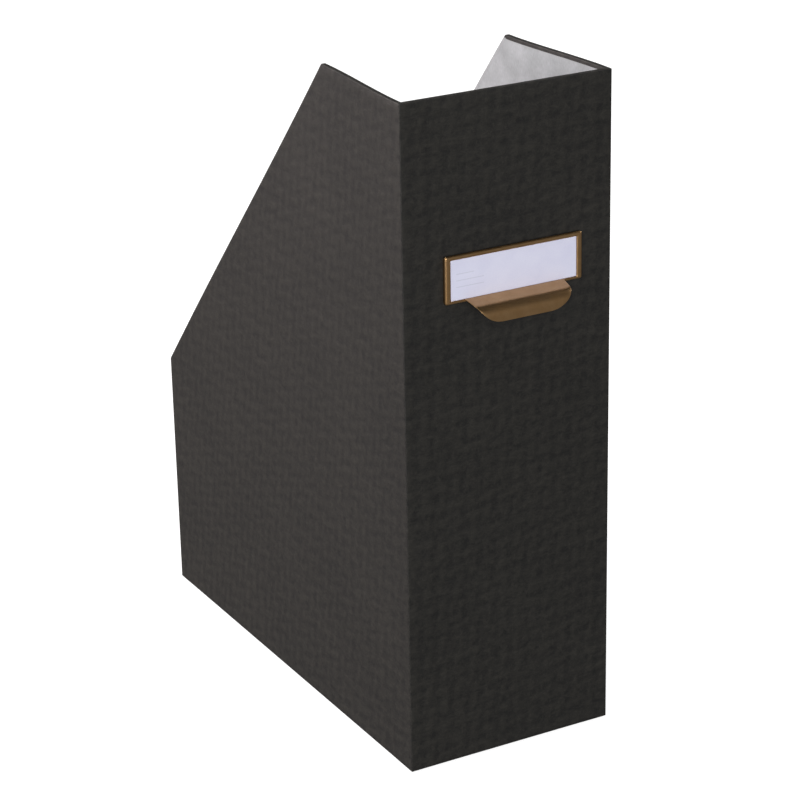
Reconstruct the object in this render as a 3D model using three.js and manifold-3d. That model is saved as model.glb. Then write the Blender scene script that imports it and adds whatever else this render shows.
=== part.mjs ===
// A rigid magazine file: grey board panels covered outside with black paper and lined inside with grey
// paper, with a pressed brass label holder and finger pull on its tall front.
// Millimetres, +Z up. The origin is the centre of the base, on the surface that the file stands on.
// The front faces -Y, and the low back is at +Y.

import * as THREE from 'three';
import { mergeVertices } from 'three/addons/utils/BufferGeometryUtils.js';
import Module from 'manifold-3d';

const wasm = await Module();
wasm.setup();

// ---------------------------------------------------------------- driving dimensions

const WIDTH = 106.7;
const DEPTH = 250.2;
const HEIGHT = 318;
const BACK_HEIGHT = 124.8;
const LEVEL_LENGTH = 77.6; // how far the side panels stay at full height, from the front
const LEAN_LEFT = 3.8; // how far each side panel's free top corner leans inwards
const LEAN_RIGHT = 5.2;
const LEAN_POWER = 1.5; // above 1, so that a leaning panel curves and stays upright near the floor

const PAPER = 0.15;
const BOARD = 1.8;
const GLUE = 0.05; // the clearance between two layers
const TURN_IN = 15; // cover paper folded over a top edge and down the inside
const TURN_UNDER = 12; // cover paper folded under the base
const BASE_COVER_INSET = 3;
const LEVEL_REVEAL = 1.8; // black turn-in that shows above the lining, on level edges
const SLOPE_REVEAL = 0.4;

const STAY_LEG = 12;
const STAY_TOP_DROP = 5;

const HOLDER = {
  width: 70.5,
  height: 22.2,
  bottom: 224.7,
  offset: 2.1, // the holder sits a little to the right of the front's middle
  proud: 1.8,
  sheet: 0.5,
  sideBorder: 3,
  topBorder: 2.1,
  lowerRail: 1.5,
  cornerRadius: 1.2,
  flangeInset: 0.3, // from the frame's edge to the outside of the turned-back edge behind it
};
const PULL = {
  rootHalfWidth: 25.5,
  lipHalfWidth: 23.5,
  reach: 12.6, // from the front panel to the outside of the lip
  ledgeDrop: 1.2,
  bendRadius: 5.5,
  lipBottom: 216.8,
  cornerRadius: 11,
  steps: 40,
};
const PRONG = { width: 3, length: 5, fromEnd: 5, clearance: 0.3 };
const CARD = {
  width: 68.5,
  height: 20.9,
  thickness: 0.4,
  gapInFront: 0.25,
  gapBelow: 0.1,
  cornerRadius: 0.6,
};

// ---------------------------------------------------------------- the layers of a wall, from outside in

const COVER = [0, PAPER];
const STAY = [PAPER + GLUE, 2 * PAPER + GLUE];
const PANEL = [STAY[1] + GLUE, STAY[1] + GLUE + BOARD];
const FLAP = [PANEL[1] + GLUE, PANEL[1] + GLUE + PAPER];
const LINING = [FLAP[1] + GLUE, FLAP[1] + GLUE + PAPER];
const WALL = LINING[1];
const INSIDE = WALL + GLUE; // where the inside corners begin

// The same layers under the base, from the resting surface up.
const UNDER_FLAP = [PAPER + GLUE, 2 * PAPER + GLUE];
const BOARD_BOTTOM = UNDER_FLAP[1] + GLUE;
const FLOOR = [BOARD_BOTTOM + BOARD + GLUE, BOARD_BOTTOM + BOARD + GLUE + PAPER];
const LINING_BOTTOM = FLOOR[1] + GLUE;
const BOARD_TOP_DROP = PAPER + GLUE;

const FRONT_Y = -DEPTH / 2;
const BACK_Y = DEPTH / 2;
const SHOULDER_Y = FRONT_Y + LEVEL_LENGTH;
const SLOPE = (HEIGHT - BACK_HEIGHT) / (BACK_Y - SHOULDER_Y);

const LEVEL_COLUMNS = 5;
const SLOPE_COLUMNS = 9;
const SIDE_ROWS = 7;
const ARC_SEGMENTS = 4; // flat steps in a plate's rounded corner

// ---------------------------------------------------------------- materials

const coverPaper = { color: 0x2d2c2a, roughness: 0.75, metalness: 0 };
const sideCoverPaper = { color: 0x423e3c, roughness: 0.75, metalness: 0 };
const greyBoard = { color: 0x8f877c, roughness: 0.95, metalness: 0 };
const stayPaper = { color: 0xb9a888, roughness: 0.9, metalness: 0 };
const liningPaper = { color: 0xb8b7b7, roughness: 0.85, metalness: 0 };
const brass = { color: 0x9c7b4a, roughness: 0.35, metalness: 1 };
const cardPaper = { color: 0xcfd0e5, roughness: 0.8, metalness: 0 };

// ---------------------------------------------------------------- solids

const { clamp, lerp, smoothstep } = THREE.MathUtils;

// A closed solid between two skins of points, each a list of columns of the same length.
function gridSolid(face, back) {
  const lastColumn = face.length - 1;
  const lastRow = face[0].length - 1;
  const corner = (skin, i, j) => (skin * (lastColumn + 1) + i) * (lastRow + 1) + j;
  const index = [];
  const quad = (a, b, c, d) => index.push(a, b, c, a, c, d);
  for (let i = 0; i < lastColumn; i += 1) {
    for (let j = 0; j < lastRow; j += 1) {
      quad(corner(0, i, j), corner(0, i + 1, j), corner(0, i + 1, j + 1), corner(0, i, j + 1));
      quad(corner(1, i, j), corner(1, i, j + 1), corner(1, i + 1, j + 1), corner(1, i + 1, j));
    }
    quad(corner(0, i, 0), corner(1, i, 0), corner(1, i + 1, 0), corner(0, i + 1, 0));
    quad(corner(0, i, lastRow), corner(0, i + 1, lastRow), corner(1, i + 1, lastRow), corner(1, i, lastRow));
  }
  for (let j = 0; j < lastRow; j += 1) {
    quad(corner(0, 0, j), corner(0, 0, j + 1), corner(1, 0, j + 1), corner(1, 0, j));
    quad(
      corner(0, lastColumn, j),
      corner(1, lastColumn, j),
      corner(1, lastColumn, j + 1),
      corner(0, lastColumn, j + 1),
    );
  }
  const geometry = new THREE.BufferGeometry();
  geometry.setFromPoints([...face.flat(), ...back.flat()]);
  geometry.setIndex(signedVolume(geometry, index) < 0 ? index.reverse() : index);
  return geometry;
}

function signedVolume(geometry, index) {
  const position = geometry.getAttribute('position');
  const point = (k) => new THREE.Vector3().fromBufferAttribute(position, index[k]);
  let volume = 0;
  for (let k = 0; k < index.length; k += 3) {
    volume += point(k).dot(point(k + 1).cross(point(k + 2))) / 6;
  }
  return volume;
}

function toManifold(geometry) {
  const bare = geometry.clone();
  bare.deleteAttribute('normal');
  bare.deleteAttribute('uv');
  const merged = mergeVertices(bare);
  return new wasm.Manifold(
    new wasm.Mesh({
      numProp: 3,
      vertProperties: new Float32Array(merged.getAttribute('position').array),
      triVerts: new Uint32Array(merged.getIndex().array),
    }),
  );
}

function fromManifold(solid) {
  const mesh = solid.getMesh();
  const geometry = new THREE.BufferGeometry();
  geometry.setAttribute('position', new THREE.BufferAttribute(mesh.vertProperties, 3));
  geometry.setIndex(new THREE.BufferAttribute(mesh.triVerts, 1));
  return geometry;
}

const union = (geometries) => fromManifold(geometries.map(toManifold).reduce((a, b) => a.add(b)));

function subtract(geometry, cutters) {
  return fromManifold(cutters.map(toManifold).reduce((a, b) => a.subtract(b), toManifold(geometry)));
}

// A box between two corners.
function block(x, y, z) {
  const geometry = new THREE.BoxGeometry(x[1] - x[0], y[1] - y[0], z[1] - z[0]);
  return geometry.translate((x[0] + x[1]) / 2, (y[0] + y[1]) / 2, (z[0] + z[1]) / 2);
}

// A flat plate that stands upright, parallel to the front, with its front face at y.
function uprightPlate(shape, y, thickness) {
  const options = { depth: thickness, bevelEnabled: false, curveSegments: ARC_SEGMENTS };
  return new THREE.ExtrudeGeometry(shape, options)
    .rotateX(Math.PI / 2)
    .translate(0, y + thickness, 0);
}

function roundedRectangle(width, bottom, top, radius) {
  const half = width / 2;
  return new THREE.Shape()
    .moveTo(-half + radius, bottom)
    .lineTo(half - radius, bottom)
    .absarc(half - radius, bottom + radius, radius, -Math.PI / 2, 0)
    .absarc(half - radius, top - radius, radius, 0, Math.PI / 2)
    .absarc(-half + radius, top - radius, radius, Math.PI / 2, Math.PI)
    .absarc(-half + radius, bottom + radius, radius, Math.PI, 1.5 * Math.PI);
}

// ---------------------------------------------------------------- walls

const steps = (from, to, count) => Array.from({ length: count + 1 }, (_, k) => lerp(from, to, k / count));

const sideTop = (y) => Math.min(HEIGHT, HEIGHT - SLOPE * (y - SHOULDER_Y));

// The inward lean of a side panel: greatest at the shoulder, and nothing at the front, back and floor.
function lean(y, z, greatest) {
  const alongEdge = y < SHOULDER_Y
    ? smoothstep(y, FRONT_Y + INSIDE, SHOULDER_Y)
    : 1 - smoothstep(y, SHOULDER_Y, BACK_Y - INSIDE);
  const climb = clamp((z - LINING_BOTTOM) / (sideTop(y) - LINING_BOTTOM), 0, 1);
  return greatest * alongEdge * climb ** LEAN_POWER;
}

// A wall places a point by its depth in from the outer face, its distance along the wall and its height.
function sideWall(sign, greatestLean) {
  return {
    half: DEPTH / 2,
    top: sideTop,
    reveal: (y) => (y > SHOULDER_Y ? SLOPE_REVEAL : LEVEL_REVEAL),
    rows: SIDE_ROWS,
    columns: [
      FRONT_Y + INSIDE,
      ...steps(FRONT_Y + STAY_LEG, SHOULDER_Y, LEVEL_COLUMNS),
      ...steps(SHOULDER_Y, BACK_Y - STAY_LEG, SLOPE_COLUMNS).slice(1),
      BACK_Y - INSIDE,
    ],
    place: (depth, y, z) => new THREE.Vector3(sign * (WIDTH / 2 - depth - lean(y, z, greatestLean)), y, z),
  };
}

function endWall(sign, height) {
  return {
    half: WIDTH / 2,
    top: () => height,
    reveal: () => LEVEL_REVEAL,
    rows: 1,
    columns: [],
    place: (depth, x, z) => new THREE.Vector3(x, sign * (DEPTH / 2 - depth), z),
  };
}

const leftWall = sideWall(-1, LEAN_LEFT);
const rightWall = sideWall(1, LEAN_RIGHT);
const frontWall = endWall(-1, HEIGHT);
const backWall = endWall(1, BACK_HEIGHT);

// A sheet that runs the length of a wall, less an inset at both ends. Each station is a pair of points,
// [depth, height] on the sheet's face and on its back, where height is a function of the place along.
function wallSheet(wall, inset, stations) {
  const end = wall.half - inset;
  const places = [-end, ...wall.columns.filter((column) => Math.abs(column) < end - GLUE / 2), end];
  const skin = (side) => places.map(
    (along) => stations.map((station) => wall.place(station[side][0], along, station[side][1](along))),
  );
  return gridSolid(skin(0), skin(1));
}

// The heights of a wall's rows: a level bottom, even rows up to where the turned-in paper ends, and a
// top that drops below the wall's own.
const rowHeights = (wall, bottom, drop) => [
  ...steps(0, 1, wall.rows).map(
    (fraction) => (along) => lerp(bottom, wall.top(along) - TURN_IN, fraction),
  ),
  (along) => wall.top(along) - drop(along),
];

// A flat layer of a wall, such as its board or its lining.
function layer(wall, inset, depths, bottom, drop) {
  const stations = rowHeights(wall, bottom, drop).map((height) => [[depths[0], height], [depths[1], height]]);
  return wallSheet(wall, inset, stations);
}

// Cover paper: from under the base, up the outside, over the top edge and down the inside.
function foldedCover(wall, inset) {
  const under = UNDER_FLAP.map((z) => () => z);
  const top = (along) => wall.top(along);
  const underTop = (along) => wall.top(along) - PAPER;
  const flapEnd = (along) => wall.top(along) - TURN_IN;
  const upright = rowHeights(wall, UNDER_FLAP[0], () => 0).slice(1, -1);
  return wallSheet(wall, inset, [
    [[TURN_UNDER, under[0]], [TURN_UNDER, under[1]]],
    [[COVER[0], under[0]], [COVER[1], under[1]]],
    ...upright.map((height) => [[COVER[0], height], [COVER[1], height]]),
    [[COVER[0], top], [COVER[1], underTop]],
    [[FLAP[1], top], [FLAP[0], underTop]],
    [[FLAP[1], flapEnd], [FLAP[0], flapEnd]],
  ]);
}

// The side covers run through above the corners: only their flaps stop short of the end walls.
function sideCover(wall, sign) {
  const flapOut = [WIDTH / 2 - WALL - LEAN_RIGHT, WIDTH / 2 - PANEL[1] - GLUE / 2];
  const x = sign > 0 ? flapOut : [-flapOut[1], -flapOut[0]];
  const past = BACK_Y - INSIDE;
  const z = [BOARD_BOTTOM, HEIGHT - BOARD_TOP_DROP + GLUE / 2];
  return subtract(foldedCover(wall, PAPER + GLUE), [
    block(x, [-DEPTH, -past], z),
    block(x, [past, DEPTH], z),
  ]);
}

// The end covers span the full width outside, and their folds fit between the side walls' folds.
function endCover(wall, sign) {
  const skin = DEPTH / 2 - PAPER - GLUE / 2;
  const y = sign > 0 ? [0, skin] : [-skin, 0];
  const cutters = [];
  for (const [clear, z] of [[INSIDE, [0, HEIGHT + 1]], [TURN_UNDER + GLUE, [0, BOARD_BOTTOM]]]) {
    cutters.push(block([-WIDTH, clear - WIDTH / 2], y, z), block([WIDTH / 2 - clear, WIDTH], y, z));
  }
  return subtract(foldedCover(wall, 0), cutters);
}

// Paper pasted round an upright corner, between the boards and the cover.
function cornerStay(side, sideSign, end, endSign) {
  const heights = rowHeights({ ...end, rows: side.rows }, BOARD_BOTTOM, () => STAY_TOP_DROP);
  const upright = (wall, depth, along) => heights.map((height) => wall.place(depth, along, height(along)));
  const skin = (depth) => [
    upright(side, depth, endSign * (DEPTH / 2 - STAY_LEG)),
    upright(side, depth, endSign * (DEPTH / 2 - INSIDE)),
    upright(end, depth, sideSign * (WIDTH / 2 - depth)),
    upright(end, depth, sideSign * (WIDTH / 2 - STAY_LEG)),
  ];
  return gridSolid(skin(STAY[0]), skin(STAY[1]));
}

// ---------------------------------------------------------------- label holder

const holderTop = HOLDER.bottom + HOLDER.height;
const holderLeft = HOLDER.offset - HOLDER.width / 2;
const holderRight = HOLDER.offset + HOLDER.width / 2;
const plateFront = FRONT_Y - HOLDER.proud;
const windowBottom = HOLDER.bottom + HOLDER.lowerRail;
const lowerFlange = [HOLDER.bottom + HOLDER.sheet / 2, HOLDER.bottom + 1.5 * HOLDER.sheet];
const prongBack = FRONT_Y + PANEL[1] + GLUE;

// The raised frame round the window.
function holderPlate() {
  const outline = roundedRectangle(HOLDER.width, HOLDER.bottom, holderTop, HOLDER.cornerRadius);
  const windowWidth = HOLDER.width - 2 * HOLDER.sideBorder;
  outline.holes.push(
    roundedRectangle(windowWidth, windowBottom, holderTop - HOLDER.topBorder, HOLDER.sheet),
  );
  return uprightPlate(outline, plateFront, HOLDER.sheet).translate(HOLDER.offset, 0, 0);
}

// The turned-back edges that the frame stands on: left, right and bottom. The top is open for the card.
function holderFlanges() {
  const y = [plateFront + HOLDER.sheet / 2, FRONT_Y];
  const z = [lowerFlange[0], holderTop - HOLDER.cornerRadius];
  const x = [holderLeft + HOLDER.flangeInset, holderRight - HOLDER.flangeInset];
  return [
    block([x[0], x[0] + HOLDER.sheet], y, z),
    block([x[1] - HOLDER.sheet, x[1]], y, z),
    block(x, y, lowerFlange),
  ];
}

// Each prong goes straight back through the front panel, and is clinched towards the holder's middle.
// The same boxes, grown by a clearance, are the slits in the panel and its cover.
function prongBoxes(clearance) {
  const grow = (range) => [range[0] - clearance, range[1] + clearance];
  const boxes = [];
  for (const inward of [1, -1]) {
    const root = HOLDER.offset - inward * (HOLDER.width / 2 - HOLDER.flangeInset);
    const shank = [root, root + inward * HOLDER.sheet].sort((a, b) => a - b);
    const clinch = [root, root + inward * PRONG.length].sort((a, b) => a - b);
    for (const middle of [HOLDER.bottom + PRONG.fromEnd, holderTop - PRONG.fromEnd]) {
      const z = grow([middle - PRONG.width / 2, middle + PRONG.width / 2]);
      boxes.push(
        block(grow(shank), grow([FRONT_Y - HOLDER.sheet, prongBack]), z),
        block(grow(clinch), grow([prongBack - HOLDER.sheet, prongBack]), z),
      );
    }
  }
  return boxes;
}

// The finger pull is a tongue with tapered sides and rounded corners, bent into a ledge that falls gently
// outwards and a lip that hangs from its edge.
function fingerPull() {
  const lipY = FRONT_Y - PULL.reach;
  const rootY = plateFront + HOLDER.sheet / 2;
  const ledgeAngle = Math.atan2(PULL.ledgeDrop, rootY - lipY);
  const bendY = lipY + PULL.bendRadius;
  const bendZ = windowBottom - PULL.ledgeDrop - PULL.bendRadius;
  const spine = new THREE.Path()
    .moveTo(rootY, windowBottom)
    .lineTo(bendY - PULL.bendRadius * Math.sin(ledgeAngle), bendZ + PULL.bendRadius * Math.cos(ledgeAngle))
    .absarc(bendY, bendZ, PULL.bendRadius, Math.PI / 2 + ledgeAngle, Math.PI)
    .lineTo(lipY, PULL.lipBottom);
  const length = spine.getLength();
  const halfWidth = (t) => {
    const tapered = lerp(PULL.rootHalfWidth, PULL.lipHalfWidth, t);
    const intoCorner = clamp(1 - ((1 - t) * length) / PULL.cornerRadius, 0, 1);
    return tapered - PULL.cornerRadius * (1 - Math.sqrt(1 - intoCorner ** 2));
  };
  const stations = steps(0, 1, PULL.steps).map((t) => {
    const point = spine.getPointAt(t);
    const tangent = spine.getTangentAt(t);
    const inside = new THREE.Vector2(-tangent.y, tangent.x).multiplyScalar(HOLDER.sheet);
    return { point, inner: point.clone().add(inside), half: halfWidth(t) };
  });
  const skin = (key) => [-1, 1].map(
    (sign) => stations.map((station) => new THREE.Vector3(
      HOLDER.offset + sign * station.half,
      station[key].x,
      station[key].y,
    )),
  );
  return gridSolid(skin('point'), skin('inner'));
}

function labelHolder() {
  return union([holderPlate(), ...holderFlanges(), ...prongBoxes(0), fingerPull()]);
}

function labelCard() {
  const bottom = lowerFlange[1] + CARD.gapBelow;
  const outline = roundedRectangle(CARD.width, bottom, bottom + CARD.height, CARD.cornerRadius);
  const front = plateFront + HOLDER.sheet + CARD.gapInFront;
  return uprightPlate(outline, front, CARD.thickness).translate(HOLDER.offset, 0, 0);
}

// ---------------------------------------------------------------- the file, piece by piece

const file = new THREE.Group();

function add(name, geometry, material) {
  geometry.computeVertexNormals();
  const mesh = new THREE.Mesh(geometry, new THREE.MeshStandardMaterial(material));
  mesh.name = name;
  file.add(mesh);
}

// Boards: the side boards run through, the end boards fit between them, and the base fits inside all four.
const boardDrop = () => BOARD_TOP_DROP;
const betweenSides = PANEL[1] + GLUE;
const slits = prongBoxes(PRONG.clearance);
add('board_left', layer(leftWall, PANEL[0], PANEL, BOARD_BOTTOM, boardDrop), greyBoard);
add('board_right', layer(rightWall, PANEL[0], PANEL, BOARD_BOTTOM, boardDrop), greyBoard);
add(
  'board_front',
  subtract(layer(frontWall, betweenSides, PANEL, BOARD_BOTTOM, boardDrop), slits),
  greyBoard,
);
add('board_back', layer(backWall, betweenSides, PANEL, BOARD_BOTTOM, boardDrop), greyBoard);

const baseSheet = (inset, z) => block(
  [inset - WIDTH / 2, WIDTH / 2 - inset],
  [FRONT_Y + inset, BACK_Y - inset],
  z,
);
add('board_base', baseSheet(betweenSides, [BOARD_BOTTOM, BOARD_BOTTOM + BOARD]), greyBoard);

const corners = [
  ['corner_stay_front_left', leftWall, -1, frontWall, -1],
  ['corner_stay_front_right', rightWall, 1, frontWall, -1],
  ['corner_stay_back_left', leftWall, -1, backWall, 1],
  ['corner_stay_back_right', rightWall, 1, backWall, 1],
];
for (const [name, side, sideSign, end, endSign] of corners) {
  add(name, cornerStay(side, sideSign, end, endSign), stayPaper);
}

add('cover_left', sideCover(leftWall, -1), sideCoverPaper);
add('cover_right', sideCover(rightWall, 1), sideCoverPaper);
add('cover_front', subtract(endCover(frontWall, -1), slits), coverPaper);
add('cover_back', endCover(backWall, 1), coverPaper);
add('cover_base', baseSheet(BASE_COVER_INSET, [0, PAPER]), coverPaper);

const linings = { front: frontWall, back: backWall, left: leftWall, right: rightWall };
for (const [name, wall] of Object.entries(linings)) {
  const sheet = layer(wall, INSIDE, LINING, LINING_BOTTOM, wall.reveal);
  add(`lining_${name}`, sheet, liningPaper);
}
add('lining_base', baseSheet(INSIDE, FLOOR), liningPaper);

add('label_holder', labelHolder(), brass);
add('label_card', labelCard(), cardPaper);

export default file;
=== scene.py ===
"""The looks of a rigid magazine file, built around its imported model.

Metres, +Z up, in the model's own frame: the front faces -Y and the file stands on z = 0. The paper skins,
the label holder and the card are made finely here. The boards and corner stays inside are the model's own.
"""

import math
from dataclasses import dataclass, field
from typing import Callable

import bmesh
import bpy
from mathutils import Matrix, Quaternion, Vector


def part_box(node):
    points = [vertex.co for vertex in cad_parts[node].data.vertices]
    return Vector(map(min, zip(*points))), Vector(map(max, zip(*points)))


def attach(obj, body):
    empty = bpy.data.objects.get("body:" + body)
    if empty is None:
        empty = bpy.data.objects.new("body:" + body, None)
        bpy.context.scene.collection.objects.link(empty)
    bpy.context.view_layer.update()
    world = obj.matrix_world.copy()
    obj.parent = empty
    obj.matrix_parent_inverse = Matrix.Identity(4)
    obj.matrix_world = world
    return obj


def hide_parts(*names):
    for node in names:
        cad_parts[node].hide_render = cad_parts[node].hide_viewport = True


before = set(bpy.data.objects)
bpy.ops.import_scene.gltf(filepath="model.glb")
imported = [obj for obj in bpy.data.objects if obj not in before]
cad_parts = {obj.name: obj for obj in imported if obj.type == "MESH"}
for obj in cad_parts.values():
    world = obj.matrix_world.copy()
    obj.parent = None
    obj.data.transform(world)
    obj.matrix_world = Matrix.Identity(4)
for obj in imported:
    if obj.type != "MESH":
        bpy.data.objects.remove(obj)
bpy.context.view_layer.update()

MM = 0.001

# ---------------------------------------------------------------- dimensions

HALF_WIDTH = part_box("cover_front")[1].x
HALF_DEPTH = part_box("cover_back")[1].y
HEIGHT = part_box("cover_front")[1].z
BACK_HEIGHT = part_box("cover_back")[1].z
LEVEL_LENGTH = 77.6 * MM  # how far the side panels stay at full height, from the front
LEAN_LEFT = 3.8 * MM  # how far each side panel's free top corner leans inwards
LEAN_RIGHT = 5.2 * MM
LEAN_POWER = 1.5  # above 1, so that a leaning panel curves and stays upright near the floor

PAPER = 0.15 * MM
LINING_PAPER = PAPER * 0.9
FLAP_DEPTH = 2.4 * MM  # from a wall's outer face to the face of its turned-in paper
LINING_DEPTH = 2.6 * MM
INSIDE = 2.65 * MM  # where the inside corners begin
UNDERSIDE = 0.2 * MM  # height of the turned-under paper's lower face
LINING_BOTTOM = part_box("lining_front")[0].z
TURN_IN = 15 * MM
TURN_UNDER = 12 * MM
LEVEL_REVEAL = 1.8 * MM  # turned-in paper that shows above the lining, on level edges
SLOPE_REVEAL = 0.4 * MM
BASE_CORNER = 1.5 * MM

FOLD = 0.5 * MM  # radius of the paper where it goes round an edge
SHOULDER_RADIUS = 1.2 * MM
WEAR_REACH = 3 * MM  # how far in from an edge the paper is rubbed
STAY_LEG = 12 * MM
STAY_RAMP = 2.5 * MM  # how gently the cover comes down off the corner stays
STAY_STEP = 0.06 * MM
FLAP_RAMP = 3 * MM  # how gently the lining comes down off the turned-in paper
FLAP_STEP = 0.15 * MM

FRONT_Y = -HALF_DEPTH
BACK_Y = HALF_DEPTH
SHOULDER_Y = FRONT_Y + LEVEL_LENGTH
SLOPE = (HEIGHT - BACK_HEIGHT) / (BACK_Y - SHOULDER_Y)
SLOPE_ANGLE = math.atan(SLOPE)
STRETCH = math.hypot(1, SLOPE)  # a vertical drop on the slope, over the distance in from its edge

ARC_STEPS = 4
CORNER_STEPS = 3
ROWS = 22
COLUMN_SPACING = 9 * MM
RAMP_SHARES = (0, 0.25, 0.5, 0.75, 1)
FLAP_SHARES = (0, 0.15, 0.4, 1)  # closer together near the top edge, where the wear is
SHOULDER_SPLITS = 3  # extra lining columns on each side of the shoulder
TOUCHING = 0.001 * MM  # points closer than this are one point
UNDER_WEAR = 0.5  # how worn the turned-under paper is
BEVEL_ANGLE = math.radians(50)  # an edge turned more than this is rounded
SHARP_ANGLE = math.radians(38)  # and one turned more than this is shaded as an edge

# ---------------------------------------------------------------- small helpers


def clamp(value, low=0.0, high=1.0):
    return max(low, min(high, value))


def lerp(a, b, share):
    return a + (b - a) * share


def smoothstep(value, low, high):
    share = clamp((value - low) / (high - low))
    return share * share * (3 - 2 * share)


def spread(start, end, spacing):
    """Even places from start to end, no further apart than spacing."""
    count = max(1, math.ceil(abs(end - start) / spacing))
    return [lerp(start, end, k / count) for k in range(count + 1)]


def arc(steps, angle=math.pi / 2):
    return [angle * k / steps for k in range(steps + 1)]


# ---------------------------------------------------------------- walls


@dataclass
class Column:
    """A line up a wall: where it meets the top edge, and the way from that edge into the panel."""

    along: float
    top: float
    inward: tuple = (0.0, -1.0)
    end: int = 0  # -1 or 1 on a column that stands part of the way round an upright corner
    turn: float = 0.0  # how far round, in radians

    def at(self, inset):
        return self.along + inset * self.inward[0], self.top + inset * self.inward[1]


@dataclass
class Wall:
    half: float
    top: Callable  # from distance along to the height of the top edge
    place: Callable  # from depth, distance along and height to a point
    outward: Vector
    hand: int  # as seen from outside, distance along grows to the right (1) or to the left (-1)
    through: tuple = ()  # the ends where this wall's rim runs on over the next wall
    columns: list = field(default_factory=list)


def side_top(y):
    return min(HEIGHT, HEIGHT - SLOPE * (y - SHOULDER_Y))


def lean(y, z, greatest):
    """The inward lean of a side panel: most at the shoulder, none at the front, the back and the floor."""
    if y < SHOULDER_Y:
        along_edge = smoothstep(y, FRONT_Y + INSIDE, SHOULDER_Y)
    else:
        along_edge = 1 - smoothstep(y, SHOULDER_Y, BACK_Y - INSIDE)
    climb = clamp((z - LINING_BOTTOM) / (side_top(y) - LINING_BOTTOM))
    return greatest * along_edge * climb**LEAN_POWER


def corner_columns(wall_half, end, top):
    """The columns part of the way round the upright corner at one end, from the corner inwards."""
    turns = [math.pi / 4 * k / CORNER_STEPS for k in range(CORNER_STEPS, 0, -1)]
    return [Column(end * wall_half, top, end=end, turn=turn) for turn in turns]


def stops(start, end, extra):
    """Column places from start to end: even ones, and the extra ones that lie between them."""
    even = spread(start, end, COLUMN_SPACING)
    wanted = [place for place in extra if start < place < end]
    kept = [place for place in even if all(abs(place - other) > FOLD for other in wanted)]
    return sorted(kept + wanted)


def special_places(half):
    """Where wear, a stay's edge or a flap's end makes the surface change, near both ends."""
    ramp = [STAY_LEG + STAY_RAMP * share for share in RAMP_SHARES]
    insets = [FOLD, FLAP_DEPTH, WEAR_REACH, *ramp]
    return [side * (half - inset) for inset in insets for side in (-1, 1)]


def end_columns(top):
    extra = special_places(HALF_WIDTH)
    places = stops(FOLD - HALF_WIDTH, HALF_WIDTH - FOLD, extra)
    straight = [Column(place, top) for place in places]
    left = corner_columns(HALF_WIDTH, -1, top)
    right = corner_columns(HALF_WIDTH, 1, top)
    return left + straight + right[::-1]


def side_columns():
    extra = special_places(HALF_DEPTH)
    tangent = SHOULDER_RADIUS * math.tan(SLOPE_ANGLE / 2)
    level = [Column(y, HEIGHT) for y in stops(FRONT_Y + FOLD, SHOULDER_Y - tangent, extra)]
    shoulder = []
    for angle in arc(ARC_STEPS, SLOPE_ANGLE)[1:]:
        y = SHOULDER_Y - tangent + SHOULDER_RADIUS * math.sin(angle)
        z = HEIGHT - SHOULDER_RADIUS + SHOULDER_RADIUS * math.cos(angle)
        shoulder.append(Column(y, z, (-math.sin(angle), -math.cos(angle))))
    start = SHOULDER_Y + 2 * tangent
    slope = [Column(y, side_top(y), (0.0, -STRETCH)) for y in stops(start, BACK_Y - FOLD, extra)]
    front = corner_columns(HALF_DEPTH, -1, HEIGHT)
    back = corner_columns(HALF_DEPTH, 1, BACK_HEIGHT)
    return front + level + shoulder + slope + back[::-1]


def side_wall(sign, greatest):
    def place(depth, along, z):
        return Vector((sign * (HALF_WIDTH - depth - lean(along, z, greatest)), along, z))

    return Wall(HALF_DEPTH, side_top, place, Vector((sign, 0, 0)), sign, (1,), side_columns())


def end_wall(sign, height):
    def place(depth, along, z):
        return Vector((along, sign * (HALF_DEPTH - depth), z))

    columns = end_columns(height)
    return Wall(HALF_WIDTH, lambda _: height, place, Vector((0, sign, 0)), -sign, (), columns)


WALLS = {
    "left": side_wall(-1, LEAN_LEFT),
    "right": side_wall(1, LEAN_RIGHT),
    "front": end_wall(-1, HEIGHT),
    "back": end_wall(1, BACK_HEIGHT),
}

# ---------------------------------------------------------------- sheets


class Sheet:
    """A thin sheet, gathered from grids of points on its outer face.

    Each point is its place, its place on the flat sheet, and how worn it is there.
    """

    def __init__(self):
        self.mesh = bmesh.new()
        self.flat = self.mesh.verts.layers.float_vector.new("flat")
        self.wear = self.mesh.verts.layers.float.new("wear")

    def add_grid(self, columns):
        lines = [[self._vertex(*point) for point in column] for column in columns]
        for a, b in zip(lines, lines[1:]):
            for k in range(len(a) - 1):
                self.mesh.faces.new((a[k], b[k], b[k + 1], a[k + 1]))

    def _vertex(self, place, flat, wear):
        vertex = self.mesh.verts.new(place)
        vertex[self.flat] = (*flat, 0)
        vertex[self.wear] = wear
        return vertex

    def build(self, name, outward, thickness, edge=0.0):
        """The solid sheet: thickness goes in from the outer face, and edge rounds what is cut."""
        bmesh.ops.remove_doubles(self.mesh, verts=self.mesh.verts[:], dist=TOUCHING)
        bmesh.ops.dissolve_degenerate(self.mesh, dist=TOUCHING, edges=self.mesh.edges[:])
        bmesh.ops.recalc_face_normals(self.mesh, faces=self.mesh.faces[:])
        total = sum((face.normal * face.calc_area() for face in self.mesh.faces), Vector())
        if total.dot(outward) < 0:
            bmesh.ops.reverse_faces(self.mesh, faces=self.mesh.faces[:])
        data = bpy.data.meshes.new(name)
        self.mesh.to_mesh(data)
        self.mesh.free()
        piece = link(name, data)
        thick = piece.modifiers.new("thickness", "SOLIDIFY")
        thick.thickness = thickness
        thick.offset = -1
        if edge:
            add_bevel(piece, edge)
        apply_modifiers(piece)
        return piece


def link(name, data):
    piece = bpy.data.objects.new(name, data)
    bpy.context.scene.collection.objects.link(piece)
    return piece


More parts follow.
